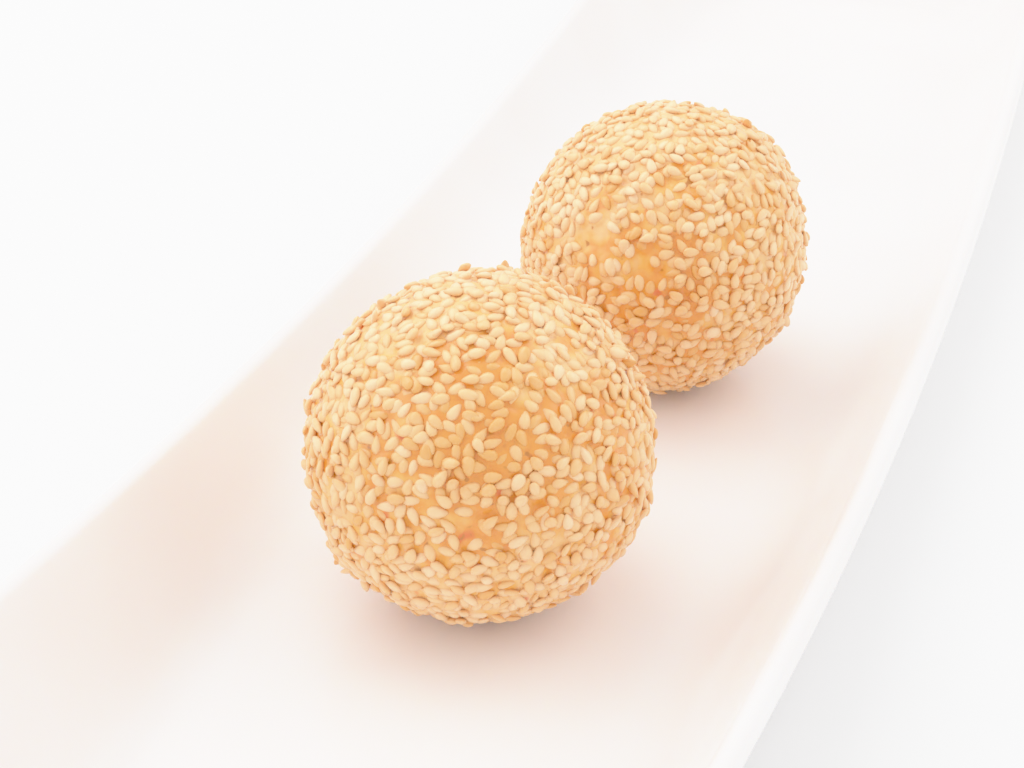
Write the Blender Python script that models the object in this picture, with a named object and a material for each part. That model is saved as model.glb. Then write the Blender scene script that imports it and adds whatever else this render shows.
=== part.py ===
"""Two sesame balls on a long white porcelain serving plate.

Frame: metres, +Z up. X runs along the plate, Y across it, and the origin is the
middle of the plate's footprint on the surface it stands on.

Pieces: plate, sesame_ball_front, sesame_ball_back.
"""

import math
from dataclasses import dataclass

import bmesh
import bpy
from mathutils import Vector

MM = 0.001

# ---- plate: driving dimensions -----------------------------------------------
WELL_HALF_LENGTH = 200.6 * MM   # plate's middle to the inner edge of a short rim
WELL_HALF_WIDTH = 54.6 * MM     # plate's middle to the inner edge of a long rim
CORNER_RADIUS = 17.0 * MM       # corners of the inner rim edge, seen from above
CORNER_TIGHTENING = 0.6         # share of an inset that comes off the corners' radius
TIGHTEST_CORNER = 0.3           # smallest corner radius, as a share of CORNER_RADIUS
SIDE_BOW = 0.095                # how much narrower the plate is at its ends
END_BOW = 0.016                 # how much shorter the plate is at its corners
WALL_WIDTH_MIDDLE = 16.0 * MM   # level run of the curved wall, floor to rim edge
WALL_WIDTH_END = 22.0 * MM      # the same at the short ends, where the rim is high
WALL_THICKNESS = 4.2 * MM
RIM_DEPTH_MIDDLE = 12.0 * MM    # rim edge above the floor, at the plate's middle
RIM_DEPTH_END = 31.0 * MM       # the same at the short ends, where the rim sweeps up
FOOT_HEIGHT = 2.8 * MM
FOOT_INSET = 25.0 * MM          # foot's outer edge, inwards from the inner rim edge
FOOT_WIDTH = 4.4 * MM           # of the foot's flat bottom
FOOT_EDGE = 0.5 * MM            # small chamfer along the foot's bottom
FOOT_DRAFT = 0.9 * MM           # sideways lean of the foot's flanks

FLOOR_Z = FOOT_HEIGHT + WALL_THICKNESS
RIM_SWEEP = (RIM_DEPTH_END - RIM_DEPTH_MIDDLE) / WELL_HALF_LENGTH**2

# ---- how finely the plate is divided -----------------------------------------
LONG_SIDE_STEPS = 26
SHORT_SIDE_STEPS = 8
CORNER_STEPS = 6
WALL_STEPS = 6
LIP_STEPS = 6
OUTER_STEPS = 5

# ---- sesame balls ------------------------------------------------------------
TOUCH_GAP = 0.3 * MM            # kept between a ball and the plate's floor
REST_FLAT = 0.45 * MM           # depth of the flat spot that a ball rests on
BALL_SUBDIVISIONS = 4

# ---- finishes ----------------------------------------------------------------
SHARP_ANGLE = math.radians(35)  # edges that bend more than this stay crisp
PORCELAIN_WHITE = (0.91, 0.89, 0.87, 1.0)
PORCELAIN_ROUGHNESS = 0.12
CRUST_ROUGHNESS = 0.45


@dataclass(frozen=True)
class Lump:
    """A low swelling (or hollow, if height is negative) on a ball's skin."""

    azimuth: float      # degrees round +Z from +X
    elevation: float    # degrees above the level
    height: float       # share of the ball's radius
    spread: float       # degrees from its top to where it has faded by half

    def axis(self) -> Vector:
        """Return the direction from the ball's centre to the lump's top."""
        az = math.radians(self.azimuth)
        el = math.radians(self.elevation)
        return Vector((math.cos(el) * math.cos(az), math.cos(el) * math.sin(az), math.sin(el)))

    def rise(self, direction: Vector) -> float:
        """Return how far the lump lifts the skin in a direction."""
        angle = math.degrees(self.axis().angle(direction))
        return self.height * 0.5 ** ((angle / self.spread) ** 2)


@dataclass(frozen=True)
class Ball:
    """One fried ball: its name, its size and place on the floor, and its lumps."""

    name: str
    radius: float
    x: float
    y: float
    colour: tuple
    lumps: tuple


FRONT_BALL = Ball(
    name="sesame_ball_front",
    radius=27.25 * MM,
    x=-105.0 * MM,
    y=1.0 * MM,
    colour=(0.86, 0.57, 0.27, 1.0),
    lumps=(
        Lump(azimuth=134, elevation=-34, height=0.030, spread=12),
        Lump(azimuth=-85, elevation=-23, height=0.030, spread=16),
        Lump(azimuth=180, elevation=-55, height=0.026, spread=24),
        Lump(azimuth=68, elevation=48, height=-0.026, spread=15),
        Lump(azimuth=20, elevation=68, height=0.016, spread=22),
        Lump(azimuth=-34, elevation=40, height=0.008, spread=18),
        Lump(azimuth=0, elevation=-20, height=-0.014, spread=26),
    ),
)

BACK_BALL = Ball(
    name="sesame_ball_back",
    radius=26.45 * MM,
    x=-28.4 * MM,
    y=-6.5 * MM,
    colour=(0.84, 0.52, 0.22, 1.0),
    lumps=(
        Lump(azimuth=-43, elevation=38, height=0.060, spread=20),
        Lump(azimuth=98, elevation=16, height=-0.026, spread=15),
        Lump(azimuth=76, elevation=42, height=-0.022, spread=16),
        Lump(azimuth=195, elevation=-55, height=0.022, spread=22),
        Lump(azimuth=110, elevation=-10, height=0.012, spread=14),
        Lump(azimuth=200, elevation=20, height=-0.010, spread=24),
        Lump(azimuth=20, elevation=-5, height=0.014, spread=26),
    ),
)


# ---- scene set-up ------------------------------------------------------------
def clear_scene() -> None:
    """Remove every object that the scene starts with."""
    for obj in list(bpy.data.objects):
        bpy.data.objects.remove(obj, do_unlink=True)


def new_collection(name: str) -> bpy.types.Collection:
    """Return a new collection, linked to the scene."""
    collection = bpy.data.collections.new(name)
    bpy.context.scene.collection.children.link(collection)
    return collection


def new_material(name: str, colour: tuple, roughness: float) -> bpy.types.Material:
    """Return a Principled material of one colour."""
    material = bpy.data.materials.new(name)
    material.use_nodes = True
    shader = material.node_tree.nodes["Principled BSDF"]
    shader.inputs["Base Color"].default_value = colour
    shader.inputs["Roughness"].default_value = roughness
    shader.inputs["Metallic"].default_value = 0.0
    return material


def add_object(bm, name: str, collection, material) -> bpy.types.Object:
    """Turn a finished bmesh into a smooth-shaded object in the collection."""
    bmesh.ops.recalc_face_normals(bm, faces=bm.faces)
    mesh = bpy.data.meshes.new(name)
    bm.to_mesh(mesh)
    bm.free()
    mesh.shade_smooth()
    mesh.set_sharp_from_angle(angle=SHARP_ANGLE)
    mesh.materials.append(material)
    obj = bpy.data.objects.new(name, mesh)
    collection.objects.link(obj)
    return obj


# ---- plate -------------------------------------------------------------------
def outline(inset: float) -> list:
    """Return the plate's outline, moved inwards from the inner rim edge by inset.

    It is a rounded rectangle whose long sides and short ends bow out a little.
    """
    half_x = WELL_HALF_LENGTH - inset
    half_y = WELL_HALF_WIDTH - inset
    radius = max(CORNER_RADIUS - CORNER_TIGHTENING * inset, TIGHTEST_CORNER * CORNER_RADIUS)
    flat_x = half_x - radius
    flat_y = half_y - radius
    points = []
    for quarter in range(4):
        along_x = quarter % 2 == 1
        steps = LONG_SIDE_STEPS if along_x else SHORT_SIDE_STEPS
        turn = quarter * math.pi / 2
        # the straight side that leads up to this quarter's corner
        for i in range(steps):
            share = -1 + 2 * i / steps
            if along_x:
                sign = 1 if quarter == 1 else -1
                points.append((-sign * share * flat_x, sign * half_y))
            else:
                sign = 1 if quarter == 0 else -1
                points.append((sign * half_x, sign * share * flat_y))
        corner_x = flat_x if quarter in (0, 3) else -flat_x
        corner_y = flat_y if quarter in (0, 1) else -flat_y
        for i in range(CORNER_STEPS):
            angle = turn + (i / CORNER_STEPS) * math.pi / 2
            points.append((corner_x + radius * math.cos(angle), corner_y + radius * math.sin(angle)))
    return [bowed(x, y) for x, y in points]


def bowed(x: float, y: float) -> tuple:
    """Bow the sides out: narrower towards the ends, shorter towards the corners."""
    narrow = 1 - SIDE_BOW * (x / WELL_HALF_LENGTH) ** 2
    shorten = 1 - END_BOW * (y / WELL_HALF_WIDTH) ** 2
    return x * shorten, y * narrow


def rim_depth(x: float) -> float:
    """Return the rim edge's height above the floor, which sweeps up to the ends."""
    return RIM_DEPTH_MIDDLE + RIM_SWEEP * x * x


def wall_width(depth: float) -> float:
    """Return the wall's level run, which is wider where the rim is higher."""
    raised = (depth - RIM_DEPTH_MIDDLE) / (RIM_DEPTH_END - RIM_DEPTH_MIDDLE)
    return WALL_WIDTH_MIDDLE + raised * (WALL_WIDTH_END - WALL_WIDTH_MIDDLE)


def inner_wall(share: float, depth: float) -> tuple:
    """Return (inset, z) on the inner wall, from the floor (0) to the rim edge (1)."""
    return wall_width(depth) * (1 - share), FLOOR_Z + depth * share * share


def wall_normal(share: float, depth: float) -> tuple:
    """Return the inner wall's normal as (towards the middle, up), of length 1."""
    slope = 2 * depth * share / wall_width(depth)
    length = math.hypot(1, slope)
    return slope / length, 1 / length


def outer_wall(share: float, depth: float) -> tuple:
    """Return (inset, z) on the outer wall, one wall thickness behind the inner."""
    inset, z = inner_wall(share, depth)
    inwards, up = wall_normal(share, depth)
    return inset - WALL_THICKNESS * inwards, z - WALL_THICKNESS * up


def lip(share: float, depth: float) -> tuple:
    """Return (inset, z) on the rounded lip, over the top from inside to outside."""
    inset_a, z_a = inner_wall(1, depth)
    inset_b, z_b = outer_wall(1, depth)
    inwards, up = wall_normal(1, depth)
    angle = math.pi * share
    half = WALL_THICKNESS / 2
    middle_inset = (inset_a + inset_b) / 2
    middle_z = (z_a + z_b) / 2
    along = half * math.cos(angle)
    above = half * math.sin(angle)
    return middle_inset + along * inwards - above * up, middle_z + along * up + above * inwards


def foot_stations() -> list:
    """Return the foot ring's section as (inset, z), from outside to inside."""
    top = FOOT_HEIGHT
    outer = FOOT_INSET
    inner = FOOT_INSET + FOOT_WIDTH
    return [
        (outer - FOOT_EDGE - FOOT_DRAFT, top),
        (outer - FOOT_EDGE, FOOT_EDGE),
        (outer, 0.0),
        (inner, 0.0),
        (inner + FOOT_EDGE, FOOT_EDGE),
        (inner + FOOT_EDGE + FOOT_DRAFT, top),
    ]


def plate_stations() -> list:
    """Return the plate's section, floor to rim to foot.

    Each station is a function that takes the local rim depth and gives (inset, z).
    """
    stations = []
    for i in range(WALL_STEPS):
        stations.append(lambda depth, s=i / WALL_STEPS: inner_wall(s, depth))
    for i in range(LIP_STEPS + 1):
        stations.append(lambda depth, s=i / LIP_STEPS: lip(s, depth))
    for i in range(OUTER_STEPS):
        stations.append(lambda depth, s=1 - (i + 1) / OUTER_STEPS: outer_wall(s, depth))
    for inset, z in foot_stations():
        stations.append(lambda depth, at=(inset, z): at)
    return stations


def ring_points(station) -> list:
    """Return a station's ring of points around the plate."""
    middle_line = outline(0.0)
    points = []
    for k, (x0, _) in enumerate(middle_line):
        inset, z = station(rim_depth(x0))
        x, y = outline(inset)[k]
        points.append(Vector((x, y, z)))
    return points


def build_plate(collection) -> bpy.types.Object:
    """Build the plate: its section's stations, each one ring round the outline."""
    rings = [ring_points(station) for station in plate_stations()]
    bm = bmesh.new()
    bmesh.ops.create_circle(bm, cap_ends=True, segments=len(rings[0]), radius=1.0)
    bm.verts.ensure_lookup_table()
    loop = list(bm.verts)
    for vert, point in zip(loop, rings[0]):
        vert.co = point
    edges = list(bm.edges)
    for points in rings[1:]:
        loop, edges = grow_ring(bm, loop, edges)
        for vert, point in zip(loop, points):
            vert.co = point
    bmesh.ops.contextual_create(bm, geom=edges)
    bmesh.ops.triangulate(bm, faces=[face for face in bm.faces if len(face.verts) > 4])
    material = new_material("glazed_porcelain", PORCELAIN_WHITE, PORCELAIN_ROUGHNESS)
    return add_object(bm, "plate", collection, material)


def grow_ring(bm, loop: list, edges: list) -> tuple:
    """Extrude a closed ring of edges and return the new ring's vertices and edges."""
    grown = bmesh.ops.extrude_edge_only(bm, edges=edges)["geom"]
    fresh = {item for item in grown if isinstance(item, bmesh.types.BMVert)}
    new_loop = []
    for vert in loop:
        neighbours = [edge.other_vert(vert) for edge in vert.link_edges]
        new_loop.append(next(other for other in neighbours if other in fresh))
    new_edges = [item for item in grown if isinstance(item, bmesh.types.BMEdge)]
    new_edges = [edge for edge in new_edges if all(vert in fresh for vert in edge.verts)]
    return new_loop, new_edges


# ---- balls -------------------------------------------------------------------
def build_ball(ball: Ball, collection) -> bpy.types.Object:
    """Build one ball, out to the tops of its seeds, with a flat spot to rest on."""
    bm = bmesh.new()
    bmesh.ops.create_icosphere(bm, subdivisions=BALL_SUBDIVISIONS, radius=1.0)
    for vert in bm.verts:
        direction = vert.co.normalized()
        reach = ball.radius * (1 + sum(lump.rise(direction) for lump in ball.lumps))
        vert.co = direction * reach
    lowest = min(vert.co.z for vert in bm.verts)
    rest_level = lowest + REST_FLAT
    for vert in bm.verts:
        vert.co.z = max(vert.co.z, rest_level)
    centre = Vector((ball.x, ball.y, FLOOR_Z + TOUCH_GAP - rest_level))
    material = new_material(ball.name + "_crust", ball.colour, CRUST_ROUGHNESS)
    obj = add_object(bm, ball.name, collection, material)
    obj.location = centre
    return obj


def main() -> None:
    """Build the whole part."""
    clear_scene()
    collection = new_collection("plate_of_sesame_balls")
    build_plate(collection)
    for ball in (FRONT_BALL, BACK_BALL):
        build_ball(ball, collection)


main()
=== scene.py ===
"""Looks of a long white porcelain plate that holds two fried sesame balls.

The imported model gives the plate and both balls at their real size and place. Each is replaced here by
finer pieces: the plate by a smooth glazed one, and each ball by a core of fried rice dough with
toasted sesame seeds stuck into it.

Frame: metres, +Z up, X along the plate. Sizes are named in millimetres through MM.
"""

import sys
import logging
import math
from collections import defaultdict
from dataclasses import dataclass
from enum import Enum

import bmesh
import bpy
import numpy as np
from mathutils import Matrix, Quaternion, Vector, kdtree, noise


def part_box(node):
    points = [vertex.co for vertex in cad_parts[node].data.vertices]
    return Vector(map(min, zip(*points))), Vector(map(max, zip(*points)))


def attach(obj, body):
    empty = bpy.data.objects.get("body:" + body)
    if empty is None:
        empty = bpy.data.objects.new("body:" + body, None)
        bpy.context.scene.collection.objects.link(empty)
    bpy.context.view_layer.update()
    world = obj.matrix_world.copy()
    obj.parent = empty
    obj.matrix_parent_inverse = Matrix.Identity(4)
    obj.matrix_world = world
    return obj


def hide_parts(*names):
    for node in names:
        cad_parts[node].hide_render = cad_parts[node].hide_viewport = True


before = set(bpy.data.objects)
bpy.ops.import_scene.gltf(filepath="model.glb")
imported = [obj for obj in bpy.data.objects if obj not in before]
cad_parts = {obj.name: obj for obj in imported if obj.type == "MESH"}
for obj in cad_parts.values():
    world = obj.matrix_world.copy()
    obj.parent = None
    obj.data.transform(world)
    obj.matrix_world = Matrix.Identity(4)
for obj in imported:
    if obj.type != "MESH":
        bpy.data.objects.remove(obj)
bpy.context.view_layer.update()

MM = 0.001
LOG = logging.getLogger("plate_of_sesame_balls")

Colour = tuple[float, float, float, float]
Pair = tuple[float, float]
Triple = tuple[float, float, float]

MIX_A, MIX_B, MIX_RESULT = 6, 7, 2      # sockets of a Mix node that mixes colours

SEED_TONE = "seed_tone"      # one number for each seed: 0 is cream, 1 is toasted
SEED_ALONG = "seed_along"    # 0 at a seed's round end, 1 at its point
SEED_RIM = "seed_rim"        # 0 on a seed's flat middle, 1 all along its edge
BROWNING_AND_SHADE = "browning_and_shade"        # how brown the dough is drawn, from 0 to 1, with painted shade and painted light mixed in
BAKE_MAP = "OFBake"          # the UV map that a baked picture of the seeds is drawn through
BAKE_REACH = 0.4             # of a seed from its middle, as a share of its square on that map


class Slot(Enum):
    """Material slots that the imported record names."""

    PORCELAIN = "porcelain"
    CRUST = "sesame_crust"


# ---- small tools -----------------------------------------------------------------
def linear(code: str) -> Colour:
    """Turn an sRGB hex colour into linear RGBA.

    Args:
        code: six hex digits, with or without a leading #.

    Returns:
        The colour as the shaders read it, with an alpha of 1.
    """
    digits = code.lstrip("#")
    shares = [int(digits[i:i + 2], 16) / 255 for i in (0, 2, 4)]
    red, green, blue = (c / 12.92 if c <= 0.04045 else ((c + 0.055) / 1.055) ** 2.4 for c in shares)
    return red, green, blue, 1.0


def set_inputs(node: bpy.types.Node, inputs: dict) -> None:
    """Set a node's input sockets.

    Args:
        node: the node.
        inputs: for each input socket's name or number, its value, or the output that it is linked to,
            or the node whose first output that is.
    """
    for name, value in inputs.items():
        if isinstance(value, bpy.types.Node):
            value = value.outputs[0]
        if isinstance(value, bpy.types.NodeSocket):
            node.id_data.links.new(value, node.inputs[name])
        else:
            node.inputs[name].default_value = value


def add_node(
    tree: bpy.types.NodeTree,
    kind: str,
    inputs: dict | None = None,
    stops: dict[float, Colour] | None = None,
    **settings,
) -> bpy.types.Node:
    """Add a shader node with its settings, socket values and links.

    Args:
        tree: the node tree that it goes in.
        kind: the node's type after ShaderNode, such as TexNoise.
        inputs: as set_inputs takes them.
        stops: for a colour ramp, each place from 0 to 1 and its colour.
        settings: the node's own properties, such as operation.

    Returns:
        The new node.
    """
    node = tree.nodes.new("ShaderNode" + kind)
    for name, value in settings.items():
        setattr(node, name, value)
    set_inputs(node, inputs or {})
    if stops:
        elements = node.color_ramp.elements
        while len(elements) < len(stops):
            elements.new(0.5)
        for element, (position, colour) in zip(elements, sorted(stops.items())):
            element.position = position
            element.color = colour
    return node


def new_material(name: str) -> tuple[bpy.types.Material, bpy.types.NodeTree, bpy.types.Node]:
    """Make a material.

    Args:
        name: the material's name.

    Returns:
        The material, its node tree and its Principled shader.
    """
    material = bpy.data.materials.new(name)
    material.use_nodes = True
    tree = material.node_tree
    return material, tree, tree.nodes["Principled BSDF"]


def new_mesh(name: str, bm: bmesh.types.BMesh) -> bpy.types.Mesh:
    """Turn a bmesh into a mesh.

    Args:
        name: the mesh's name.
        bm: the bmesh, which is freed.

    Returns:
        The mesh.
    """
    mesh = bpy.data.meshes.new(name)
    bm.to_mesh(mesh)
    bm.free()
    return mesh


def add_attribute(mesh: bpy.types.Mesh, name: str, values: np.ndarray) -> None:
    """Give a mesh an attribute with one number for each vertex."""
    mesh.attributes.new(name, "FLOAT", "POINT").data.foreach_set("value", values)


def new_object(name: str, data: bpy.types.ID) -> bpy.types.Object:
    """Make an object of a mesh, lamp or camera.

    Args:
        name: the object's name.
        data: what it shows.

    Returns:
        The object, in the scene and at the origin.
    """
    made = bpy.data.objects.new(name, data)
    bpy.context.scene.collection.objects.link(made)
    return made


def new_piece(
    name: str, mesh: bpy.types.Mesh, material: bpy.types.Material, node: str
) -> None:
    """Make a finished piece that rides on the part's one body and stands for a CAD node.

    Args:
        name: the piece's name.
        mesh: its mesh, in place in the row frame.
        material: its material.
        node: the CAD node's name.
    """
    mesh.name = name
    mesh.materials.append(material)
    mesh.shade_smooth()
    piece = new_object(name, mesh)
    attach(piece, "root")
    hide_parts(node)
    LOG.info("%s: %d faces", name, len(mesh.polygons))


def toward(azimuth: float, elevation: float) -> Vector:
    """Return the unit vector at an azimuth round +Z from +X and an elevation, both in degrees."""
    az, el = math.radians(azimuth), math.radians(elevation)
    return Vector((math.cos(el) * math.cos(az), math.cos(el) * math.sin(az), math.sin(el)))


@dataclass(frozen=True)
class Patch:
    """A soft-edged round area on a ball, where something is stronger or weaker."""

    azimuth: float    # degrees round +Z from +X
    elevation: float  # degrees above the level
    spread: float     # degrees from its middle to where it has faded by half
    amount: float     # at its middle

    def weight(self, directions: np.ndarray) -> np.ndarray:
        """Return the patch's amount in each direction.

        Args:
            directions: unit vectors, one a row.

        Returns:
            One amount a row.
        """
        axis = np.array(toward(self.azimuth, self.elevation))
        angle = np.degrees(np.arccos(np.clip(directions @ axis, -1, 1)))
        return self.amount * 0.5 ** ((angle / self.spread) ** 2)


def patch_sum(patches: tuple[Patch, ...], directions: np.ndarray) -> np.ndarray:
    """Return the patches' summed amounts in each direction."""
    return sum((patch.weight(directions) for patch in patches), np.zeros(len(directions)))


# ---- finishes --------------------------------------------------------------------
@dataclass(frozen=True)
class GlazedPorcelain:
    """Slip-cast porcelain, dipped in clear glaze and fired; the foot's face is wiped bare.

    The eye sees a faintly rosy white with soft, weak reflections that waver a little, as the
    glaze pools, and a dull, slightly greyer ring where the foot is unglazed.
    """

    white: str = "#F9F4F3"
    pooled: str = "#F6F0EE"
    bare: str = "#E6DFD4"
    roughness: float = 0.2
    bare_roughness: float = 0.75
    index: float = 1.5
    gloss: float = 0.42                      # strength of the reflections
    glow: float = 0.3                        # share of the light that wanders through the porcelain
    glow_reach: float = 3.5 * MM
    glow_shares: Triple = (1.0, 0.75, 0.55)  # of that reach, for red, green and blue light
    pool_size: float = 38 * MM               # from one faint patch of thicker glaze to the next
    pool_range: Pair = (0.35, 0.65)          # noise where the glaze is thickest and thinnest
    wave_size: float = 14 * MM               # from one ripple of the glaze to the next
    wave_height: float = 0.008 * MM
    bare_below: float = 0.35 * MM            # the wiped face of the foot reaches up to here

    def material(self) -> bpy.types.Material:
        """Make the material.

        Returns:
            The material, for a piece that stands on its foot at height 0.
        """
        material, tree, shader = new_material("glazed_porcelain")
        place = add_node(tree, "TexCoord").outputs["Object"]
        pools = add_node(tree, "TexNoise", {"Vector": place, "Scale": 1 / self.pool_size})
        thick, thin = self.pool_range
        ramp = {thick: linear(self.pooled), thin: linear(self.white)}
        glaze = add_node(tree, "ValToRGB", {"Fac": pools}, ramp)
        height = add_node(tree, "SeparateXYZ", {"Vector": place}).outputs["Z"]
        bare = add_node(tree, "Math", {0: height, 1: self.bare_below}, operation="LESS_THAN")
        colour = add_node(tree, "Mix", {0: bare, MIX_A: glaze, MIX_B: linear(self.bare)}, data_type="RGBA")
        rough = add_node(
            tree, "MapRange", {"Value": bare, "To Min": self.roughness, "To Max": self.bare_roughness}
        )
        waves = add_node(tree, "TexNoise", {"Vector": place, "Scale": 1 / self.wave_size})
        bump = add_node(tree, "Bump", {"Height": waves, "Distance": self.wave_height})
        set_inputs(shader, {
            "Base Color": colour.outputs[MIX_RESULT],
            "Roughness": rough,
            "Normal": bump,
            "IOR": self.index,
            "Specular IOR Level": self.gloss,
            "Subsurface Weight": self.glow,
            "Subsurface Radius": self.glow_shares,
            "Subsurface Scale": self.glow_reach,
        })
        return material


@dataclass(frozen=True)
class Flecks:
    """Small marks of another colour that are scattered over a crust."""

    colour: str
    size: float   # from one likely place to the next
    start: float  # noise from which a fleck shows
    full: float   # noise from which it has its whole colour


@dataclass(frozen=True)
class FriedRiceDough:
    """Glutinous rice dough, deep-fried: a thin, oily, half-clear golden crust over pale dough.

    The eye sees soft orange gold in the gaps between the seeds, paler where the crust is thin,
    with a few redder spots and dark crumbs, tiny blisters and a light film of oil. Painted shade
    deepens the gaps, through the browning that the material reads.
    """

    pale: str = "#FABE74"
    golden: str = "#F9AF4B"
    deep: str = "#F19126"
    stops: Triple = (0.05, 0.5, 0.95)  # browning at which the crust has each of these colours
    flecks: tuple[Flecks, ...] = (
        Flecks("#E96C24", 3.4 * MM, 0.68, 0.77),  # redder spots
        Flecks("#C4720A", 1.7 * MM, 0.68, 0.75),  # dark crumbs
    )
    roughness: float = 0.36
    index: float = 1.46
    oil_weight: float = 0.25                 # strength of the oil film's own reflections
    oil_roughness: float = 0.22
    glow: float = 0.15                       # share of the light that wanders through the dough
    glow_reach: float = 1.0 * MM
    glow_shares: Triple = (1.0, 0.65, 0.35)  # of that reach, for red, green and blue light
    mottle: float = 1.7                      # strength of the browner patches
    mottle_size: float = 4.5 * MM            # from one browner patch to the next
    blister_size: float = 0.55 * MM
    blister_height: float = 0.05 * MM

    def material(self) -> bpy.types.Material:
        """Make the material.

        Returns:
            The material, which reads a mesh's browning attribute, painted shade and light included.
        """
        material, tree, shader = new_material("fried_rice_dough")
        place = add_node(tree, "TexCoord").outputs["Object"]
        browning_and_shade = add_node(tree, "Attribute", attribute_name=BROWNING_AND_SHADE).outputs["Fac"]
        mottle = add_node(
            tree, "TexNoise", {"Vector": place, "Scale": 1 / self.mottle_size, "Detail": 3.0}
        )
        centred = add_node(tree, "Math", {0: mottle, 1: 0.5}, operation="SUBTRACT")
        shade = add_node(
            tree, "Math", {0: centred, 1: self.mottle, 2: browning_and_shade}, operation="MULTIPLY_ADD"
        )
        tints = (linear(code) for code in (self.pale, self.golden, self.deep))
        crust = add_node(tree, "ValToRGB", {"Fac": shade}, dict(zip(self.stops, tints))).outputs[0]
        for kind in self.flecks:
            places = add_node(tree, "TexNoise", {"Vector": place, "Scale": 1 / kind.size, "Detail": 1.0})
            share = add_node(
                tree, "MapRange", {"Value": places, "From Min": kind.start, "From Max": kind.full}
            )
            crust = add_node(
                tree, "Mix", {0: share, MIX_A: crust, MIX_B: linear(kind.colour)}, data_type="RGBA"
            ).outputs[MIX_RESULT]
        blisters = add_node(
            tree, "TexNoise", {"Vector": place, "Scale": 1 / self.blister_size, "Detail": 2.0}
        )
        bump = add_node(tree, "Bump", {"Height": blisters, "Distance": self.blister_height})
        set_inputs(shader, {
            "Base Color": crust,
            "Normal": bump,
            "Roughness": self.roughness,
            "IOR": self.index,
            "Coat Weight": self.oil_weight,
            "Coat Roughness": self.oil_roughness,
            "Subsurface Weight": self.glow,
            "Subsurface Radius": self.glow_shares,
            "Subsurface Scale": self.glow_reach,
        })
        return material


@dataclass(frozen=True)
class ToastedSesameHull:
    """Hulled white sesame, toasted in the frying oil.

    The eye sees smooth cream seeds with a soft oily sheen, each of its own tone from cream to light
    gold, a little browner at its pointed end, browner along its edge with painted shade and a little
    toasting, and a few toasted darker.
    """

    cream: str = "#FED3A0"
    gold: str = "#F9C07B"
    toasted: str = "#EFA64C"
    stops: Triple = (0.0, 0.55, 1.0)       # tone at which a seed has each of these colours
    tip: str = "#E19E4C"
    tip_start: float = 0.72                # from here to its point a seed takes on that colour
    tip_share: float = 0.45                # as much as this
    rim_start: float = 0.5                 # from here to its edge a seed is drawn browner: painted shade, with a little toasting
    rim_shade_and_toast: float = 0.18             # by this much in tone
    roughness: float = 0.38
    index: float = 1.47
    oil_weight: float = 0.4                # strength of the oil film's own reflections
    oil_roughness: float = 0.28
    glow: float = 0.1                      # share of the light that wanders through a seed
    glow_reach: float = 0.4 * MM
    glow_shares: Triple = (1.0, 0.6, 0.3)  # of that reach, for red, green and blue light
    streak: float = 0.25                   # strength of the uneven toasting
    streak_size: float = 0.9 * MM

    def material(self) -> bpy.types.Material:
        """Make the material.

        Returns:
            The material, which reads each seed's tone and the places along and across the seed.
        """
        material, tree, shader = new_material("toasted_sesame_hull")
        place = add_node(tree, "TexCoord").outputs["Object"]
        tone, along, rim = (
            add_node(tree, "Attribute", attribute_name=name).outputs["Fac"]
            for name in (SEED_TONE, SEED_ALONG, SEED_RIM)
        )
        streaks = add_node(
            tree, "TexNoise", {"Vector": place, "Scale": 1 / self.streak_size, "Detail": 1.0}
        )
        centred = add_node(tree, "Math", {0: streaks, 1: 0.5}, operation="SUBTRACT")
        shade = add_node(tree, "Math", {0: centred, 1: self.streak, 2: tone}, operation="MULTIPLY_ADD")
        # painted shade along each seed's edge, with a little toasting
        edge_shade = add_node(
            tree, "MapRange",
            {"Value": rim, "From Min": self.rim_start, "From Max": 1.0, "To Max": self.rim_shade_and_toast},
        )
        browned = add_node(tree, "Math", {0: shade, 1: edge_shade}, operation="ADD")
        tints = (linear(code) for code in (self.cream, self.gold, self.toasted))
        hull = add_node(tree, "ValToRGB", {"Fac": browned}, dict(zip(self.stops, tints)))
        tipped = add_node(
            tree, "MapRange",
            {"Value": along, "From Min": self.tip_start, "From Max": 1.0, "To Max": self.tip_share},
        )
        colour = add_node(tree, "Mix", {0: tipped, MIX_A: hull, MIX_B: linear(self.tip)}, data_type="RGBA")
        set_inputs(shader, {
            "Base Color": colour.outputs[MIX_RESULT],
            "Roughness": self.roughness,
            "Coat Weight": self.oil_weight,
            "Coat Roughness": self.oil_roughness,
            "IOR": self.index,
            "Subsurface Weight": self.glow,
            "Subsurface Radius": self.glow_shares,
            "Subsurface Scale": self.glow_reach,
        })
        return material


@dataclass(frozen=True)
class PaintedTable:
    """A plain white table top, matt paint: it stands for the surface under the plate."""

    white: str = "#F5F7F8"
    roughness: float = 0.85

    def material(self) -> bpy.types.Material:
        """Make the material.

        Returns:
            The material.
        """
        material, _, shader = new_material("painted_table_top")
        set_inputs(shader, {"Base Color": linear(self.white), "Roughness": self.roughness})
        return material


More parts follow.
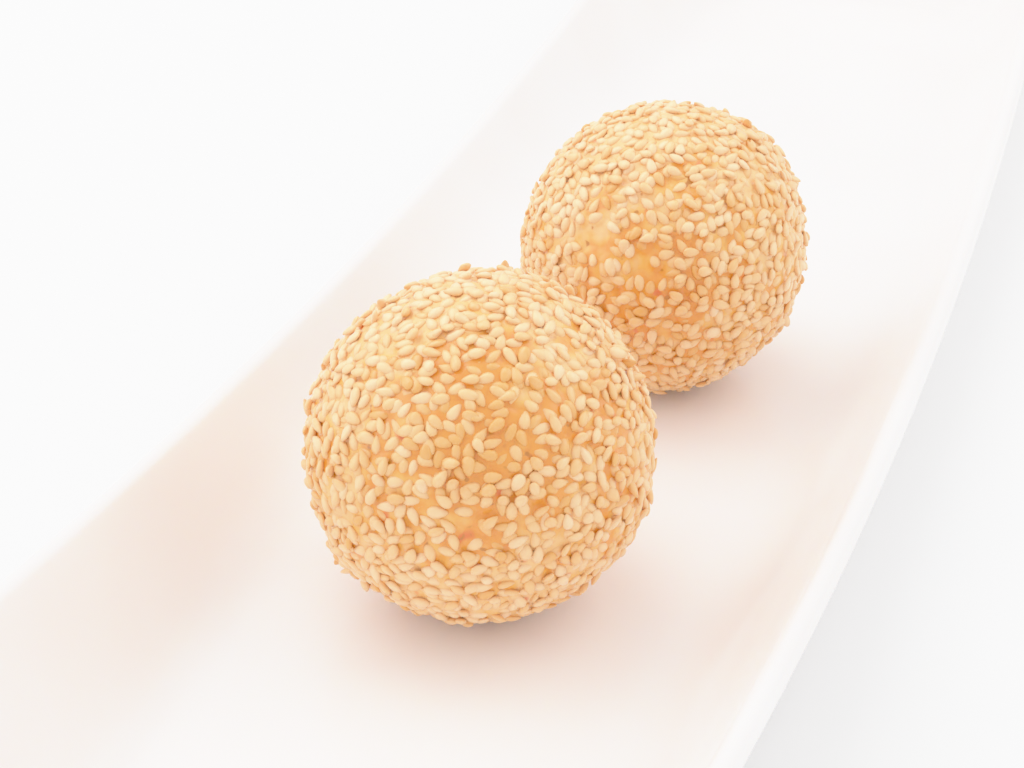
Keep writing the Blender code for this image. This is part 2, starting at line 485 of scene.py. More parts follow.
# ---- plate -----------------------------------------------------------------------
@dataclass(frozen=True)
class ServingPlate:
    """A long porcelain plate with bowed sides, whose curved wall sweeps up towards both ends."""

    node: str = "plate"                   # the CAD node that it stands for
    well_half_length: float = 200.6 * MM  # to the inner edge of a short rim
    well_half_width: float = 54.6 * MM    # to the inner edge of a long rim
    corner_radius: float = 17.0 * MM
    corner_tightening: float = 0.6        # share of an inset that comes off the corners' radius
    tightest_corner: float = 0.3          # smallest corner radius, as a share of corner_radius
    side_bow: float = 0.095               # how much narrower the plate is at its ends
    end_bow: float = 0.016                # how much shorter it is at its corners
    wall_width_middle: float = 21.0 * MM
    wall_width_end: float = 23.0 * MM
    wall_sweep: float = 2.6               # power by which the wall steepens from the floor up
    wall_thickness: float = 4.2 * MM
    rim_depth_middle: float = 12.0 * MM   # rim edge above the floor
    rim_depth_end: float = 31.0 * MM
    foot_height: float = 2.8 * MM
    foot_inset: float = 25.0 * MM
    foot_width: float = 4.4 * MM
    foot_edge: float = 0.5 * MM           # rounded edges of the foot's face
    foot_draft: float = 0.9 * MM          # sideways lean of the foot's flanks
    long_side_steps: int = 64
    short_side_steps: int = 16
    corner_steps: int = 12
    wall_steps: int = 18
    lip_steps: int = 14
    outer_steps: int = 14
    floor_rings: int = 3
    floor_ring_step: float = 7.0 * MM     # from one ring of the level floor to the next
    finish: GlazedPorcelain = GlazedPorcelain()

    @property
    def floor_z(self) -> float:
        """Height of the well's level floor."""
        return self.foot_height + self.wall_thickness

    def going_round(self) -> np.ndarray:
        """Return what each outline point is made of, anticlockwise from the +X end.

        Returns:
            One row a point: its shares of the level half length, the level half width, the corner
            radius along X and the corner radius along Y.
        """
        rows = []
        for quarter in range(4):
            ahead = Vector((1, 0, 0))
            ahead.rotate(Quaternion((0, 0, 1), quarter * math.pi / 2))
            left = Vector((-ahead.y, ahead.x, 0))
            steps = self.short_side_steps if quarter % 2 == 0 else self.long_side_steps
            for i in range(steps):
                along = ahead + (2 * i / steps - 1) * left
                rows.append((along.x, along.y, ahead.x, ahead.y))
            corner = ahead + left
            for i in range(self.corner_steps):
                angle = (quarter + i / self.corner_steps) * math.pi / 2
                rows.append((corner.x, corner.y, math.cos(angle), math.sin(angle)))
        return np.array(rows)

    def outline(self, insets: np.ndarray | float) -> np.ndarray:
        """Return the outline, moved inwards from the inner rim edge.

        Args:
            insets: how far each point is moved inwards, or one distance for all.

        Returns:
            One x, y row for each point.
        """
        shares = self.going_round()
        radius = self.corner_radius - self.corner_tightening * insets
        radius = np.maximum(radius, self.tightest_corner * self.corner_radius)
        x = shares[:, 0] * (self.well_half_length - insets - radius) + shares[:, 2] * radius
        y = shares[:, 1] * (self.well_half_width - insets - radius) + shares[:, 3] * radius
        shorten = 1 - self.end_bow * (y / self.well_half_width) ** 2
        narrow = 1 - self.side_bow * (x / self.well_half_length) ** 2
        return np.stack([x * shorten, y * narrow], 1)

    def rim_depth(self, x: float) -> float:
        """Return the rim edge's height above the floor, which sweeps up to the ends."""
        rise = self.rim_depth_end - self.rim_depth_middle
        return self.rim_depth_middle + rise * (x / self.well_half_length) ** 2

    def wall_width(self, depth: float) -> float:
        """Return the wall's level run, which is wider where the rim is higher."""
        raised = (depth - self.rim_depth_middle) / (self.rim_depth_end - self.rim_depth_middle)
        return self.wall_width_middle + raised * (self.wall_width_end - self.wall_width_middle)

    def wall(self, share: float, depth: float, behind: float) -> Pair:
        """Return a point of the wall's section.

        Args:
            share: place on the wall, from the floor (0) to the rim edge (1).
            depth: the rim edge's height above the floor.
            behind: distance from the inner face, square to it.

        Returns:
            The inset from the inner rim edge, and the height.
        """
        width = self.wall_width(depth)
        slope = self.wall_sweep * depth * share ** (self.wall_sweep - 1) / width
        length = math.hypot(1, slope)
        inset = width * (1 - share) - behind * slope / length
        return inset, self.floor_z + depth * share ** self.wall_sweep - behind / length

    def lip(self, share: float, depth: float) -> Pair:
        """Return a point of the rounded lip's section.

        Args:
            share: place on the lip, from its inside (0) over the top to its outside (1).
            depth: the rim edge's height above the floor.

        Returns:
            The inset from the inner rim edge, and the height.
        """
        inside = Vector(self.wall(1, depth, 0))
        outside = Vector(self.wall(1, depth, self.wall_thickness))
        across = (inside - outside) / 2
        upward = Vector((-across.y, across.x))
        turn = math.pi * share
        point = (inside + outside) / 2 + across * math.cos(turn) + upward * math.sin(turn)
        return point.x, point.y

    def foot(self) -> list[Pair]:
        """Return the foot's section.

        Returns:
            Insets and heights, from the foot's outside to its inside.
        """
        outer = self.foot_inset
        inner = outer + self.foot_width
        edge = self.foot_edge
        flank = edge + self.foot_draft
        soft = edge * (1 - math.sqrt(0.5))
        steps = ((flank, self.foot_height), (edge, edge), (soft, soft), (0.0, 0.0))
        left = [(outer - step, height) for step, height in steps]
        right = [(inner + step, height) for step, height in reversed(steps)]
        return left + right

    def sections(self, depth: float) -> list[Pair]:
        """Return the plate's whole section at one place.

        Args:
            depth: the rim edge's height above the floor there.

        Returns:
            Insets and heights, from the floor over the rim to the foot.
        """
        width = self.wall_width(depth)
        lead_in = range(self.floor_rings, 0, -1)
        points = [(width + self.floor_ring_step * i, self.floor_z) for i in lead_in]
        points += [self.wall(i / self.wall_steps, depth, 0) for i in range(self.wall_steps)]
        points += [self.lip(i / self.lip_steps, depth) for i in range(self.lip_steps + 1)]
        points += [self.wall(1 - (i + 1) / self.outer_steps, depth, self.wall_thickness)
                   for i in range(self.outer_steps)]
        return points + self.foot()

    def rings(self) -> list[np.ndarray]:
        """Return the rings of points that the plate is made of.

        Returns:
            One array of x, y, z rows a ring, from the floor to the foot's inner edge.
        """
        sections = np.array([self.sections(self.rim_depth(float(x))) for x, _ in self.outline(0.0)])
        return [
            np.column_stack([self.outline(insets), heights])
            for insets, heights in zip(sections[:, :, 0].T, sections[:, :, 1].T)
        ]

    def build(self) -> None:
        """Build the plate ring by ring from a flat disc, and dress it."""
        rings = self.rings()
        bm = bmesh.new()
        bmesh.ops.create_circle(bm, cap_ends=True, segments=len(rings[0]), radius=1.0)
        loop = list(bm.verts)
        edges = list(bm.edges)
        place_ring(loop, rings[0])
        for ring in rings[1:]:
            loop, edges = grow_ring(bm, loop, edges)
            place_ring(loop, ring)
        bmesh.ops.contextual_create(bm, geom=edges)
        bmesh.ops.recalc_face_normals(bm, faces=bm.faces)
        mesh = new_mesh("plate", bm)
        new_piece("porcelain_plate", mesh, self.finish.material(), self.node)


def place_ring(loop: list[bmesh.types.BMVert], points: np.ndarray) -> None:
    """Put each vertex of a ring at its point."""
    for vert, point in zip(loop, points):
        vert.co = point


def grow_ring(
    bm: bmesh.types.BMesh, loop: list[bmesh.types.BMVert], edges: list[bmesh.types.BMEdge]
) -> tuple[list[bmesh.types.BMVert], list[bmesh.types.BMEdge]]:
    """Extrude a closed ring of edges.

    Args:
        bm: the mesh that it belongs to.
        loop: the ring's vertices, in order.
        edges: the ring's edges.

    Returns:
        The new ring's vertices, in the same order, and its edges.
    """
    grown = bmesh.ops.extrude_edge_only(bm, edges=edges)["geom"]
    fresh = {item for item in grown if isinstance(item, bmesh.types.BMVert)}
    new_loop = [next(edge.other_vert(vert) for edge in vert.link_edges if edge.other_vert(vert) in fresh)
                for vert in loop]
    new_edges = [item for item in grown
                 if isinstance(item, bmesh.types.BMEdge) and all(vert in fresh for vert in item.verts)]
    return new_loop, new_edges


# ---- sesame seeds ----------------------------------------------------------------
@dataclass(frozen=True)
class SesameSeed:
    """One hulled sesame seed: a flattened drop, round at one end and pointed at the other."""

    length: float = 2.86 * MM
    width: float = 1.86 * MM
    thickness: float = 1.08 * MM
    length_spread: float = 0.075  # standard deviations, as shares of the size
    width_spread: float = 0.08
    thickness_spread: float = 0.09
    spread_limit: float = 2.2     # most standard deviations from the usual
    taper: float = 0.26           # how much narrower the pointed end is
    taper_spread: float = 0.09
    ends: float = 0.07            # how much both ends narrow beyond an ellipsoid's
    point: float = 0.07           # how far the pointed end is drawn out, as a share
    sides: int = 8
    rings: int = 6

    def drop(self) -> tuple[np.ndarray, list[tuple[int, ...]]]:
        """Make a round seed of radius 1, whose point will be at +X.

        Returns:
            Its vertices, one a row, and the numbers of each face's vertices.
        """
        bm = bmesh.new()
        bmesh.ops.create_uvsphere(bm, u_segments=self.sides, v_segments=self.rings, radius=1.0)
        bmesh.ops.rotate(bm, verts=bm.verts, matrix=Matrix.Rotation(math.radians(90), 3, "Y"))
        bm.verts.index_update()
        verts = np.array([vert.co for vert in bm.verts])
        faces = [tuple(vert.index for vert in face.verts) for face in bm.faces]
        bm.free()
        return verts, faces

    def shapes(self, drop: np.ndarray, count: int, rng: np.random.Generator) -> np.ndarray:
        """Return many seeds' vertices, each with its own proportions.

        Args:
            drop: the round seed's vertices.
            count: how many seeds.
            rng: the source of their differences.

        Returns:
            An array of count x vertices x 3, each seed about its own middle.
        """
        spread = rng.normal(size=(count, 4, 1)).clip(-self.spread_limit, self.spread_limit)
        along = drop[None, :, 0]
        taper = self.taper + self.taper_spread * spread[:, 0]
        narrowing = 1 - taper * along - self.ends * along * along
        drawn_out = along + self.point * np.maximum(along, 0) ** 3
        x = drawn_out * self.length / 2 * (1 + self.length_spread * spread[:, 1])
        y = drop[None, :, 1] * narrowing * self.width / 2 * (1 + self.width_spread * spread[:, 2])
        z = drop[None, :, 2] * narrowing * self.thickness / 2 * (1 + self.thickness_spread * spread[:, 3])
        return np.stack([x, y, z], 2)


class SeedBed:
    """The places on a ball that seeds have taken, each as a few discs, in a grid for quick search."""

    def __init__(self, cell: float) -> None:
        """Start an empty bed.

        Args:
            cell: the grid's step, no less than the largest reach between two discs.
        """
        self.cell = cell
        self.discs = defaultdict(list)

    def key(self, x: float, y: float, z: float) -> tuple[int, int, int]:
        """Return the grid cell of a point."""
        return math.floor(x / self.cell), math.floor(y / self.cell), math.floor(z / self.cell)

    def is_free(self, point: np.ndarray, radius: float) -> bool:
        """Find out whether there is room for a disc.

        Args:
            point: the disc's middle.
            radius: its radius.

        Returns:
            Whether it would meet no disc that is taken.
        """
        x, y, z = point
        i, j, k = self.key(x, y, z)
        steps = (0, -1, 1)
        for cell in ((i + a, j + b, k + c) for a in steps for b in steps for c in steps):
            for other_x, other_y, other_z, other_radius in self.discs.get(cell, ()):
                reach = radius + other_radius
                if (x - other_x) ** 2 + (y - other_y) ** 2 + (z - other_z) ** 2 < reach * reach:
                    return False
        return True

    def take(self, point: np.ndarray, radius: float) -> None:
        """Mark a disc as taken."""
        self.discs[self.key(*point)].append((*point, radius))


@dataclass(frozen=True)
class Layer:
    """How one layer of seeds is sown."""

    share: float               # of a seed's width that keeps the others away
    limit: int                 # most seeds
    depth: float               # of a seed's middle below the ball's outer skin
    depth_spread: float
    tries: int = 30000         # places tried
    pitch_spread: float = 8.0  # degrees, nose up or down
    roll_spread: float = 11.0  # degrees, to the side
    tone: float = 0.0          # how much browner than the others
    shyness: float = 0.0       # how strongly this layer keeps off the thin patches


@dataclass
class Seeds:
    """Seeds that have found their place: one row of each array for each seed."""

    directions: np.ndarray  # from the ball's middle
    headings: np.ndarray    # unit vectors towards the seed's point
    depths: np.ndarray      # of a seed's middle below the ball's outer skin
    pitches: np.ndarray     # radians, nose up or down
    rolls: np.ndarray       # radians, to the side
    tones: np.ndarray       # how much browner than the others

    def joined(self, other: "Seeds") -> "Seeds":
        """Return these seeds and the others together."""
        mine, theirs = vars(self), vars(other)
        return Seeds(**{key: np.concatenate([mine[key], theirs[key]]) for key in mine})


def joined_copies(
    verts: np.ndarray, faces: list[tuple[int, ...]], drop: np.ndarray, tones: np.ndarray
) -> bpy.types.Mesh:
    """Join many seeds that share one topology into a mesh.

    Args:
        verts: every seed's vertices, as count x vertices x 3.
        faces: one seed's faces.
        drop: the round seed's vertices, with its point at +X.
        tones: one tone for each seed.

    Returns:
        The mesh. Its bake map gives each seed a square of its own, ordered by tone, so that
        squares that meet are alike.
    """
    count, size = verts.shape[:2]
    corners = np.array([index for face in faces for index in face])
    lengths = np.array([len(face) for face in faces])
    loops = (corners[None, :] + size * np.arange(count)[:, None]).ravel()
    starts = np.concatenate([[0], np.cumsum(np.tile(lengths, count))[:-1]])

    mesh = bpy.data.meshes.new("seeds")
    mesh.vertices.add(count * size)
    mesh.vertices.foreach_set("co", verts.ravel())
    mesh.loops.add(len(loops))
    mesh.loops.foreach_set("vertex_index", loops)
    mesh.polygons.add(count * len(faces))
    mesh.polygons.foreach_set("loop_start", starts)
    mesh.update(calc_edges=True)

    add_attribute(mesh, SEED_TONE, np.repeat(tones, size))
    add_attribute(mesh, SEED_ALONG, np.tile((drop[:, 0] + 1) / 2, count))
    add_attribute(mesh, SEED_RIM, np.tile(np.hypot(drop[:, 0], drop[:, 1]), count))

    cells = math.ceil(math.sqrt(count))
    order = np.empty(count, dtype=int)
    order[np.argsort(tones)] = np.arange(count)
    inside = 0.5 + BAKE_REACH * drop[corners][:, :2]
    corner_cells = np.stack([order % cells, order // cells], 1)
    places = (corner_cells[:, None, :] + inside[None, :, :]) / cells
    uv_map = mesh.uv_layers.new(name=BAKE_MAP)
    uv_map.uv.foreach_set("vector", places.ravel())
    mesh.validate()
    return mesh


# ---- sesame balls ----------------------------------------------------------------
def noise_at(points: np.ndarray) -> np.ndarray:
    """Return the noise at each point."""
    return np.array([noise.noise(Vector(point)) for point in points])


def unit(vectors: np.ndarray) -> np.ndarray:
    """Return the vectors at length 1."""
    return vectors / np.linalg.norm(vectors, axis=-1, keepdims=True)


def tangents(directions: np.ndarray, steep: float = 0.9) -> tuple[np.ndarray, np.ndarray]:
    """Find two unit vectors square to each direction and to each other.

    Args:
        directions: unit vectors, one a row.
        steep: the height at which a direction is too near to +Z or -Z to start from +Z.

    Returns:
        The first and the second vectors, one a row.
    """
    helper = np.where(np.abs(directions[:, 2:]) < steep, (0.0, 0.0, 1.0), (1.0, 0.0, 0.0))
    first = unit(np.cross(helper, directions))
    return first, np.cross(directions, first)


class Skin:
    """The outer surface of a ball, as its distance from the ball's middle in any direction."""

    BLUR = 3.2         # degrees to where a corner of the CAD solid counts half
    STEP = 0.02        # radians between the samples that give a slope
    CHUNK = 4000       # directions worked out at a time
    MERGE = 0.01 * MM  # corners of the CAD solid that are nearer than this are one

    def __init__(self, node: str) -> None:
        """Read the skin from a CAD node.

        Args:
            node: the node's name.
        """
        low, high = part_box(node)
        self.middle = np.array((low + high) / 2)
        copy = bmesh.new()
        copy.from_mesh(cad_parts[node].data)
        bmesh.ops.remove_doubles(copy, verts=copy.verts, dist=self.MERGE)
        corners = np.array([vert.co for vert in copy.verts]) - self.middle
        copy.free()
        self.radii = np.linalg.norm(corners, axis=1)
        self.axes = corners / self.radii[:, None]
        self.sharpness = math.log(2) / (1 - math.cos(math.radians(self.BLUR)))

    @property
    def radius(self) -> float:
        """The ball's mean radius."""
        return float(self.radii.mean())

    def reach(self, directions: np.ndarray) -> np.ndarray:
        """Measure the skin.

        Args:
            directions: unit vectors, one a row.

        Returns:
            The skin's distance from the middle in each direction.
        """
        parts = []
        for start in range(0, len(directions), self.CHUNK):
            weights = np.exp(self.sharpness * (directions[start:start + self.CHUNK] @ self.axes.T - 1))
            parts.append(weights @ self.radii / weights.sum(axis=1))
        return np.concatenate(parts)

    def normals(self, directions: np.ndarray) -> np.ndarray:
        """Work out which way the skin faces.

        Args:
            directions: unit vectors, one a row.

        Returns:
            The skin's outward normal in each direction.
        """
        here = self.reach(directions)
        normals = directions.copy()
        for tangent in tangents(directions):
            ahead = self.reach(unit(directions + self.STEP * tangent))
            normals -= ((ahead - here) / (self.STEP * here))[:, None] * tangent
        return unit(normals)

    def points(self, directions: np.ndarray, depths: np.ndarray | float) -> np.ndarray:
        """Return the points that lie this deep below the skin."""
        return self.middle + directions * (self.reach(directions) - depths)[:, None]


@dataclass(frozen=True)
class SesameBall:
    """A fried ball: a core of rice dough with a bed of sesame seeds stuck into it."""

    node: str                        # the CAD node that it stands for
    place: str                       # which ball it is, for its pieces' names
    number: int                      # starts its random draws
    thin: tuple[Patch, ...] = ()     # where seeds are fewer
    bare: tuple[Patch, ...] = ()     # where the dough lies open
    brown_and_painted_light: tuple[Patch, ...] = ()    # where dough and seeds are drawn browner, or paler if negative: partly their own browning, partly painted light
    tufts: tuple[Patch, ...] = ()    # where loose seeds stand up; the amount is their number
    dough_depth: float = 0.98 * MM   # dough below the outer skin, in the gaps between seeds
    hug: float = 0.40 * MM           # how far the dough climbs round each seed
    hug_reach: float = 0.8 * MM
    painted_hug_shade: float = 0.3        # painted shade: how much browner the dough is drawn in the crevice round each seed
    swell_height: float = 0.22 * MM  # slow unevenness of the dough
    swell_size: float = 6.0 * MM
    lump_height: float = 0.16 * MM   # round lumps, as over seeds that the dough covers
    lump_size: float = 2.2 * MM
    painted_lump_shade: float = 0.25      # painted shade: how much browner the dough is drawn in the hollows between lumps
    core_level: int = 7              # the core starts as a sphere split this often
    clearance: float = 0.05 * MM     # kept between the lowest seeds and the plate
    headings_tried: int = 6
    seed: SesameSeed = SesameSeed()
    under: Layer = Layer(share=0.66, limit=1430, depth=0.56 * MM, depth_spread=0.09 * MM)
    sunken: Layer = Layer(
        share=0.36, limit=400, depth=0.92 * MM, depth_spread=0.10 * MM, tone=0.3, shyness=0.5
    )
    over: Layer = Layer(
        share=0.92, limit=640, depth=0.12 * MM, depth_spread=0.13 * MM, tries=9000,
        pitch_spread=15.0, roll_spread=13.0, tone=-0.05, shyness=1.0,
    )
    straddle: float = 0.85 * MM      # least distance between the middles of crossing seeds
    tuft_rise: float = 0.6 * MM      # most that a loose seed's middle stands out of the skin
    tuft_least: float = 0.2          # least, as a share of that
    tuft_pitch: Pair = (15.0, 70.0)  # degrees, nose up
    tuft_roll: float = 30.0          # most degrees to either side
    tone: float = 0.46               # of the seeds, from 0, cream, to 1, toasted
    tone_spread: float = 0.17
    seed_share: float = 0.22         # how much of the browning and painted light below shows on the seeds
    drift: float = 1.2               # strength of the slow change of browning over the ball
    drift_size: float = 5.0 * MM
    toasted_share: float = 0.03      # of the seeds, toasted darker
    toasted_tone: float = 0.45       # by this much
    crust_browning: float = 0.55     # middle of the dough's browning, from 0 to 1
    dough_finish: FriedRiceDough = FriedRiceDough()
    hull_finish: ToastedSesameHull = ToastedSesameHull()

    def sow(
        self, skin: Skin, layer: Layer, bed: SeedBed, below: Seeds | None, rng: np.random.Generator
    ) -> Seeds:
        """Find places for one layer of seeds, side by side.

        Args:
            skin: the ball's skin.
            layer: how the layer is sown.
            bed: the places already taken; it gains this layer's.
            below: the layer under it, if there is one; no seed lies right on top of another.
            rng: the source of the random draws.

        Returns:
            The seeds that found room.
        """
        directions = unit(rng.normal(size=(layer.tries, 3)))
        thin = patch_sum(self.thin, directions)
        kept = rng.random(layer.tries) > patch_sum(self.bare, directions) + layer.shyness * thin
        if below:
            cosines = (directions @ below.directions.T).max(axis=1)
            kept &= cosines < math.cos(self.straddle / skin.radius)
        directions, thin = directions[kept], thin[kept]
        points = skin.points(directions, 0.0)
        first, second = tangents(directions)
        turns = rng.random(len(directions)) * 2 * math.pi
        radii = layer.share * self.seed.width / 2 * (1 + thin)
        offset = (self.seed.length - layer.share * self.seed.width) / 2
        chosen, headings = [], []
        for row, (point, radius, turn) in enumerate(zip(points, radii, turns)):
            if not bed.is_free(point, radius):
                continue
            for attempt in range(self.headings_tried):
                angle = turn + attempt * math.pi / self.headings_tried
                heading = first[row] * math.cos(angle) + second[row] * math.sin(angle)
                ends = (point + offset * heading, point - offset * heading)
                if all(bed.is_free(end, radius) for end in ends):
                    for spot in (point, *ends):
                        bed.take(spot, radius)
                    chosen.append(row)
                    headings.append(heading)
                    break
            if len(chosen) >= layer.limit:
                break
        count = len(chosen)
        return Seeds(
            directions=directions[chosen],
            headings=np.array(headings),
            depths=layer.depth + layer.depth_spread * rng.normal(size=count),
            pitches=np.radians(layer.pitch_spread) * rng.normal(size=count),
            rolls=np.radians(layer.roll_spread) * rng.normal(size=count),
            tones=np.full(count, layer.tone),
        )

    def stand_up(self, rng: np.random.Generator) -> Seeds:
        """Place the loose seeds that stand up in tufts.

        Args:
            rng: the source of the random draws.

        Returns:
            The loose seeds.
        """
        rows = []
        for tuft in self.tufts:
            axis = np.array(toward(tuft.azimuth, tuft.elevation))
            spread = math.radians(tuft.spread)
            rows += [axis + spread * rng.normal(size=3) for _ in range(round(tuft.amount))]
        directions = unit(np.array(rows).reshape(-1, 3))
        count = len(directions)
        first, second = tangents(directions)
        turn = rng.random((count, 1)) * 2 * math.pi
        return Seeds(
            directions=directions,
            headings=first * np.cos(turn) + second * np.sin(turn),
            depths=-self.tuft_rise * rng.uniform(self.tuft_least, 1.0, count),
            pitches=np.radians(rng.uniform(*self.tuft_pitch, count)),
            rolls=np.radians(rng.uniform(-self.tuft_roll, self.tuft_roll, count)),
            tones=np.zeros(count),
        )

    def seed_mesh(self, skin: Skin, seeds: Seeds, rng: np.random.Generator) -> bpy.types.Mesh:
        """Join all the seeds into one mesh, each turned into its place.

        Args:
            skin: the ball's skin.
            seeds: where they lie.
            rng: the source of their differences.

        Returns:
            The mesh, with each seed's tone and the places along and across it as attributes.
        """
        drop, faces = self.seed.drop()
        shapes = self.seed.shapes(drop, len(seeds.directions), rng)
        up = skin.normals(seeds.directions)
        side = unit(np.cross(up, seeds.headings))
        ahead = np.cross(side, up)
        pitch, roll = seeds.pitches[:, None], seeds.rolls[:, None]
        nose = np.cos(pitch) * ahead + np.sin(pitch) * up
        back = np.cos(pitch) * up - np.sin(pitch) * ahead
        flank = np.cos(roll) * side + np.sin(roll) * back
        back = np.cos(roll) * back - np.sin(roll) * side
        axes = np.stack([nose, flank, back], 1)
        middles = skin.points(seeds.directions, seeds.depths)
        verts = middles[:, None, :] + shapes @ axes
        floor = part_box(self.node)[0].z + self.clearance
        sunk = np.maximum(floor - verts[:, :, 2].min(axis=1), 0)
        verts[:, :, 2] += sunk[:, None]
        return joined_copies(verts, faces, drop, self.tones(skin, seeds, rng))

    def browner(self, skin: Skin, directions: np.ndarray) -> np.ndarray:
        """Return how much browner than usual the crust is drawn in each direction, painted light included.
        """
        drift = noise_at(directions * skin.radius / self.drift_size)
        return self.drift * drift + patch_sum(self.brown_and_painted_light, directions)

    def tones(self, skin: Skin, seeds: Seeds, rng: np.random.Generator) -> np.ndarray:
        """Draw each seed's tone: how toasted it is, with the patches' painted light added.

        Args:
            skin: the ball's skin.
            seeds: where they lie.
            rng: the source of their differences.

        Returns:
            Each seed's tone, from 0, cream, to 1, toasted.
        """
        count = len(seeds.tones)
        tones = self.tone + self.tone_spread * rng.normal(size=count) + seeds.tones
        toasted = self.toasted_tone * (rng.random(count) < self.toasted_share)
        return np.clip(tones + toasted + self.seed_share * self.browner(skin, seeds.directions), 0, 1)

    def core_mesh(self, skin: Skin, seeds: Seeds) -> bpy.types.Mesh:
        """Shape the dough, which climbs a little round every seed that is stuck into it.

        Args:
            skin: the ball's skin.
            seeds: the seeds of the lower and the sunken layer.

        Returns:
            The mesh, with its browning and painted shade as an attribute.
        """
        bm = bmesh.new()
        bmesh.ops.create_icosphere(bm, subdivisions=self.core_level, radius=1.0)
        mesh = new_mesh(self.node, bm)
        flat = np.zeros(len(mesh.vertices) * 3)
        mesh.vertices.foreach_get("co", flat)
        directions = unit(flat.reshape(-1, 3))

        radius = skin.radius
        offset = (self.seed.length - self.seed.width) / 2
        discs = kdtree.KDTree(3 * len(seeds.directions))
        spots = [seeds.directions * radius + side * offset * seeds.headings for side in (-1, 0, 1)]
        for index, spot in enumerate(np.concatenate(spots)):
            discs.insert(spot, index)
        discs.balance()
        away = np.array([discs.find(direction * radius)[2] for direction in directions])
        beyond = np.clip((away - self.seed.width / 2) / self.hug_reach, 0, 1)
        close = 1 - beyond * beyond * (3 - 2 * beyond)
        swell = noise_at(directions * radius / self.swell_size)
        cells = np.array([noise.voronoi(Vector(d) * radius / self.lump_size)[0][0] for d in directions])
        lumps = 1 - 2 * np.minimum(cells, 1) ** 2
        raised = self.hug * close + self.swell_height * swell + self.lump_height * lumps
        points = skin.points(directions, self.dough_depth - raised)
        mesh.vertices.foreach_set("co", points.ravel())
        level = self.crust_browning + self.browner(skin, directions)
        # painted shade: the dough is drawn browner in the crevices round the seeds and in the hollows
        # between lumps
        level += self.painted_hug_shade * (close - 0.5) - self.painted_lump_shade * lumps
        add_attribute(mesh, BROWNING_AND_SHADE, level)
        mesh.update()
        return mesh

    def build(self) -> None:
        """Sow the seeds, raise the dough round them, and make both pieces."""
        rng = np.random.default_rng(self.number)
        skin = Skin(self.node)
        bed = SeedBed(self.seed.width * (1 + sum(patch.amount for patch in self.thin)))
        lower = self.sow(skin, self.under, bed, None, rng)
        sunk = self.sow(skin, self.sunken, bed, None, rng)
        upper = self.sow(skin, self.over, SeedBed(bed.cell), lower, rng)
        loose = self.stand_up(rng)
        counts = [len(seeds.directions) for seeds in (lower, sunk, upper, loose)]
        LOG.info("%s ball: %d + %d + %d + %d seeds", self.place, *counts)
        lower = lower.joined(sunk)
        dough = self.core_mesh(skin, lower)
        dough_look = self.dough_finish.material()
        new_piece(f"{self.place}_ball_dough", dough, dough_look, self.node)
        hulls = self.seed_mesh(skin, lower.joined(upper).joined(loose), rng)
        hull_look = self.hull_finish.material()
        new_piece(f"{self.place}_ball_sesame_seeds", hulls, hull_look, self.node)


# ---- table, light and camera -------------------------------------------------------
@dataclass(frozen=True)
class SoftLamp:
    """A large round soft lamp that looks at the object."""

    name: str
    azimuth: float          # of where the light comes from, in degrees round +Z from +X
    elevation: float        # degrees above the level
    power: float            # watts
    distance: float = 1.3
    size: float = 1.2
    colour: str = "#FFFDFC"

    def hang(self, aim: Vector) -> None:
        """Hang the lamp in the scene.

        Args:
            aim: the point that it looks at.
        """
        lamp = bpy.data.lights.new(self.name, "AREA")
        lamp.shape = "DISK"
        lamp.size = self.size
        lamp.energy = self.power
        lamp.color = linear(self.colour)[:3]
        hung = new_object(self.name, lamp)
        back = toward(self.azimuth, self.elevation)
        hung.location = aim + self.distance * back
        hung.rotation_euler = (-back).to_track_quat("-Z", "Y").to_euler()


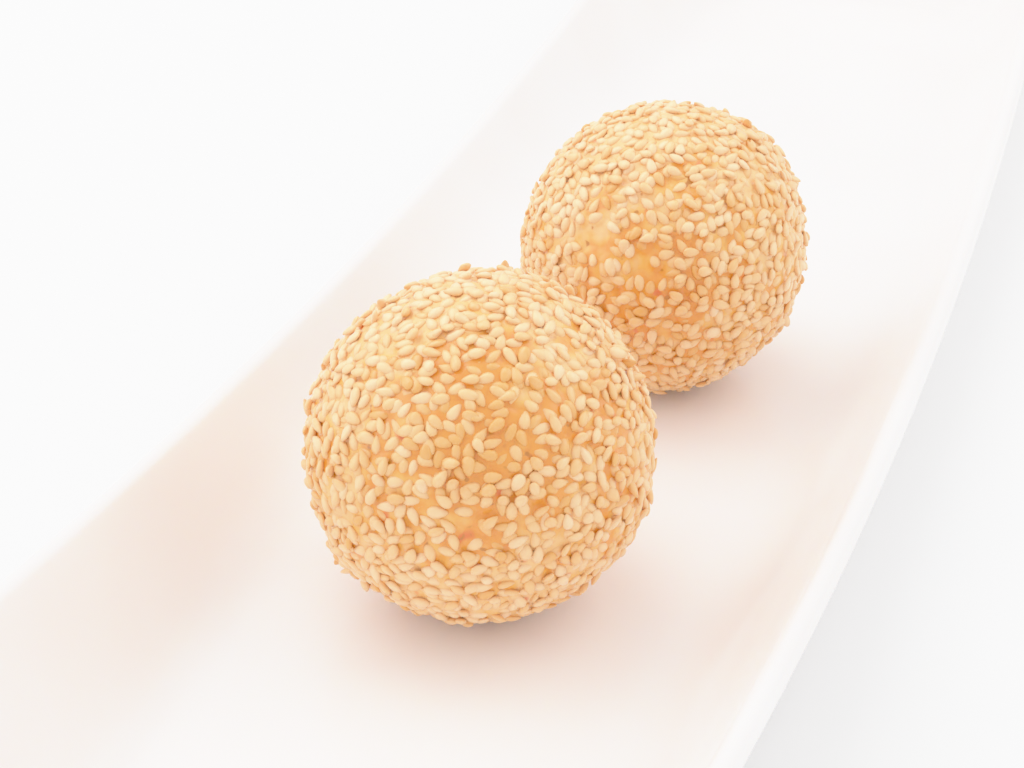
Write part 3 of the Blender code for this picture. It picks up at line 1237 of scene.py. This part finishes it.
@dataclass(frozen=True)
class Studio:
    """A plain pale table under soft light, and the camera."""

    COMBINED = 3  # the curve that all three colours pass through

    table_size: float = 6.0
    sky: str = "#FFFDFC"
    sky_strength: float = 0.79
    lamps: tuple[SoftLamp, ...] = (
        SoftLamp("key_light", 65, 60, 6.0),
        SoftLamp("right_light", -60, 45, 4.3),
        SoftLamp("left_light", 120, 35, 3.7),
    )
    lift: float = 0.7               # power that lifts the shade
    shoulder_start: float = 0.8     # brighter light than this is rolled off towards white
    brightest: float = 4.0          # the brightest light that is drawn apart from white
    curve_steps: int = 20
    curve_crowding: int = 3         # power that crowds those steps in the dark
    aim: Triple = (-43.4 * MM, 17.9 * MM, 7.0 * MM)
    camera_azimuth: float = 199.94  # of the camera as seen from the aim, round +Z from +X
    camera_elevation: float = 31.01
    camera_distance: float = 381.2 * MM
    camera_roll: float = -0.17      # degrees
    camera_near: float = 10 * MM    # nothing nearer than this is drawn
    lens: float = 70.3              # mm, on a 36 mm wide sensor

    def lay_table(self) -> None:
        """Lay the table top that the plate stands on."""
        bm = bmesh.new()
        bmesh.ops.create_grid(bm, x_segments=1, y_segments=1, size=self.table_size / 2)
        mesh = new_mesh("table_top", bm)
        mesh.materials.append(PaintedTable().material())
        new_object("table_top", mesh)

    def light(self) -> None:
        """Set the sky's even light and the lamps."""
        world = bpy.data.worlds.new("soft_sky")
        world.use_nodes = True
        background = world.node_tree.nodes["Background"]
        set_inputs(background, {"Color": linear(self.sky), "Strength": self.sky_strength})
        bpy.context.scene.world = world
        for lamp in self.lamps:
            lamp.hang(Vector(self.aim))

    def place_camera(self) -> None:
        """Place the camera."""
        data = bpy.data.cameras.new("camera")
        data.lens = self.lens
        data.clip_start = self.camera_near
        camera = new_object("camera", data)
        back = toward(self.camera_azimuth, self.camera_elevation)
        camera.location = Vector(self.aim) + self.camera_distance * back
        level = (-back).to_track_quat("-Z", "Y")
        roll = Quaternion((0, 0, 1), math.radians(self.camera_roll))
        camera.rotation_euler = (level @ roll).to_euler()
        bpy.context.scene.camera = camera

    def drawn(self, light: float) -> float:
        """Lift a light, then roll it off towards full white.

        Args:
            light: how bright the light is.

        Returns:
            How bright it is drawn.
        """
        lifted = light ** self.lift
        room = 1 - self.shoulder_start
        over = max(lifted - self.shoulder_start, 0) / room
        return min(lifted, self.shoulder_start) + room * (1 - math.exp(-over))

    def develop(self) -> None:
        """Lift the shade and roll the highlights off softly, as a bright airy print does."""
        view = bpy.context.scene.view_settings
        view.view_transform = "Standard"
        view.use_curve_mapping = True
        mapping = view.curve_mapping
        mapping.clip_max_x = self.brightest
        points = mapping.curves[self.COMBINED].points
        points[0].location = (0, 0)
        points[1].location = (self.brightest, self.drawn(self.brightest))
        for i in range(1, self.curve_steps):
            light = self.brightest * (i / self.curve_steps) ** self.curve_crowding
            points.new(light, self.drawn(light))
        mapping.update()

    def set_up(self) -> None:
        """Set the whole studio up."""
        self.lay_table()
        self.light()
        self.place_camera()
        self.develop()


FRONT_BALL = SesameBall(
    node="sesame_ball_front",
    place="front",
    number=11,
    thin=(Patch(200, 5, 25, 0.08),),
    bare=(Patch(198, 4, 6, 1.1), Patch(209, 33, 5, 1.1), Patch(254, 37, 6, 1.0)),
    # painted light: the paler patches, towards the lamps and on the lower front where light comes up from
    # the plate
    brown_and_painted_light=(
        Patch(204, 27, 18, 0.8), Patch(198, 32, 8, 0.7), Patch(180, 44, 20, 0.8),
        Patch(185, 67, 16, 0.5), Patch(200, -6, 15, 0.7), Patch(-105, 5, 14, 0.8),
        Patch(-113, 35, 12, 0.35), Patch(50, 73, 36, -1.4), Patch(112, 46, 22, -0.5),
        Patch(185, -38, 26, -0.8), Patch(212, -24, 14, -0.6), Patch(0, -90, 26, 1.5),
    ),
    tufts=(Patch(134, -34, 3.5, 4), Patch(-77, 37, 5, 4), Patch(13, 59, 3, 1)),
)
BACK_BALL = SesameBall(
    node="sesame_ball_back",
    place="back",
    number=23,
    thin=(Patch(190, 10, 35, 0.10),),
    bare=(Patch(163, 26, 13, 1.15), Patch(188, 18, 8, 1.1)),
    # painted light: the paler patches, towards the lamps
    brown_and_painted_light=(
        Patch(205, 5, 24, 0.2), Patch(197, -8, 22, 0.5), Patch(192, 42, 22, 0.45),
        Patch(80, 70, 42, -1.3), Patch(-80, 15, 28, -0.7), Patch(122, 34, 18, -0.7),
    ),
    tufts=(Patch(-90, -29, 4, 4),),
)


def main() -> None:
    """Build the plate, both balls and the studio."""
    logging.basicConfig(level=logging.INFO, format="%(message)s", stream=sys.stdout)
    for part in (ServingPlate(), FRONT_BALL, BACK_BALL):
        part.build()
    Studio().set_up()


if __name__ == "__main__":
    main()
